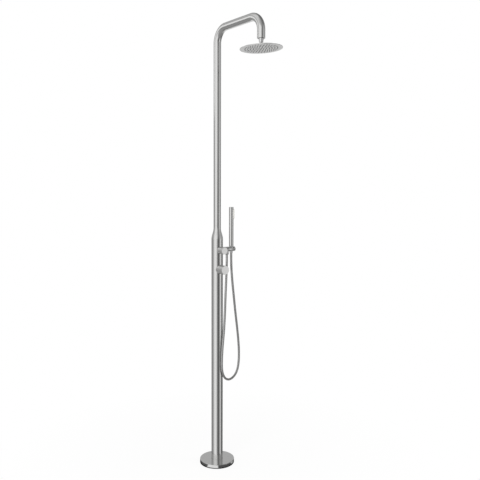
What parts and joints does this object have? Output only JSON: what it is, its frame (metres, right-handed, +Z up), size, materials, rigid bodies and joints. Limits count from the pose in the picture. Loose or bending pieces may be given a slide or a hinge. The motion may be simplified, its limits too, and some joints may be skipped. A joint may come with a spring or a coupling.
{
  "type": "outdoor shower post",
  "caption": "Stainless shower column on a round floor flange, with bent riser, round tilting head, mixer and diverter knobs, side holder arm, stick handset and hose.",
  "frame": {"origin": "centre of the flange's underside on the floor, at the centre of the ring of floor anchors", "axes": "+Z up along the column, -Y the way that the shower arm and the knobs point, +X the side of the handset"},
  "size_m": [0.2501, 0.5355, 2.3269],
  "materials": {
    "satin_stainless": "satin polished stainless steel",
    "polished_fittings": "polished chrome on brass",
    "steel_fixings": "plain stainless fasteners",
    "brass_inside": "machined brass",
    "copper_pipe": "drawn copper",
    "valve_plastic": "moulded plastic",
    "white_tube": "extruded plastic tube",
    "seat_plastic": "low friction plastic",
    "rubber_seals": "moulded rubber",
    "nozzle_silicone": "moulded silicone",
    "hose_cover": "smooth silver hose cover"
  },
  "bodies": {
    "post": {"floor_plate": "steel_fixings", "floor_anchors": "steel_fixings", "anchor_washers": "steel_fixings", "anchor_nuts": "steel_fixings", "cover_flange": "satin_stainless", "cover_seal": "rubber_seals", "column_set_screws": "steel_fixings", "lower_column": "satin_stainless", "riser_pipe": "satin_stainless", "riser_spigot": "steel_fixings", "riser_set_screws": "steel_fixings", "mixer_sleeve": "satin_stainless", "mixer_body": "brass_inside", "mixer_cartridge": "valve_plastic", "mixer_retaining_nut": "brass_inside", "diverter_sleeve": "satin_stainless", "diverter_body": "brass_inside", "diverter_cartridge": "valve_plastic", "diverter_retaining_nut": "brass_inside", "hot_supply_pipe": "copper_pipe", "cold_supply_pipe": "copper_pipe", "supply_unions": "brass_inside", "link_pipe": "copper_pipe", "inner_water_tube": "white_tube", "holder_arm": "satin_stainless", "outlet_nipple": "brass_inside", "outlet_nut": "polished_fittings", "outlet_washer": "rubber_seals", "shower_hose": "hose_cover", "arm_end_plug": "steel_fixings", "inlet_strainer": "steel_fixings", "ball_stud": "polished_fittings"},
    "mixer_control": {"mixer_spindle": "brass_inside", "mixer_knob": "satin_stainless", "mixer_knob_screw": "steel_fixings"},
    "diverter_control": {"diverter_spindle": "brass_inside", "diverter_knob": "satin_stainless", "diverter_knob_screw": "steel_fixings"},
    "hose_end": {"hose_cone": "polished_fittings", "cone_washer": "rubber_seals"},
    "handset": {"handset_tail": "satin_stainless", "handset_tube": "satin_stainless", "handset_cap": "satin_stainless", "handset_spray_strip": "satin_stainless", "handset_nozzles": "nozzle_silicone"},
    "swivel_seat": {"ball_seat": "seat_plastic"},
    "shower_head": {"head_collar_nut": "satin_stainless", "head_hub": "satin_stainless", "head_shell": "satin_stainless", "head_spray_plate": "satin_stainless", "head_seal": "rubber_seals", "head_nozzles": "nozzle_silicone"}
  },
  "joints": [
    {"name": "mixer_turn", "type": "hinge", "parent": "post", "child": "mixer_control", "pos_m": [0, -0.06, 1.034], "axis": [0, -1, 0], "range_deg": [0, 130]},
    {"name": "diverter_turn", "type": "hinge", "parent": "post", "child": "diverter_control", "pos_m": [0, -0.06, 1.133], "axis": [0, -1, 0], "range_deg": [-45, 45]},
    {"name": "handset_lift", "type": "slide", "parent": "post", "child": "hose_end", "axis": [0, 0, 1], "range_m": [0, 0.04]},
    {"name": "handset_swivel", "type": "hinge", "parent": "hose_end", "child": "handset", "pos_m": [0.062, -0.038, 1.15], "axis": [0, 0, 1], "continuous": true},
    {"name": "head_spin", "type": "hinge", "parent": "post", "child": "swivel_seat", "pos_m": [0, -0.345, 2.109], "axis": [0, 0, 1], "continuous": true},
    {"name": "head_tilt", "type": "hinge", "parent": "swivel_seat", "child": "shower_head", "pos_m": [0, -0.345, 2.109], "axis": [-0.6157, -0.788, 0], "range_deg": [-18, 12]}
  ]
}
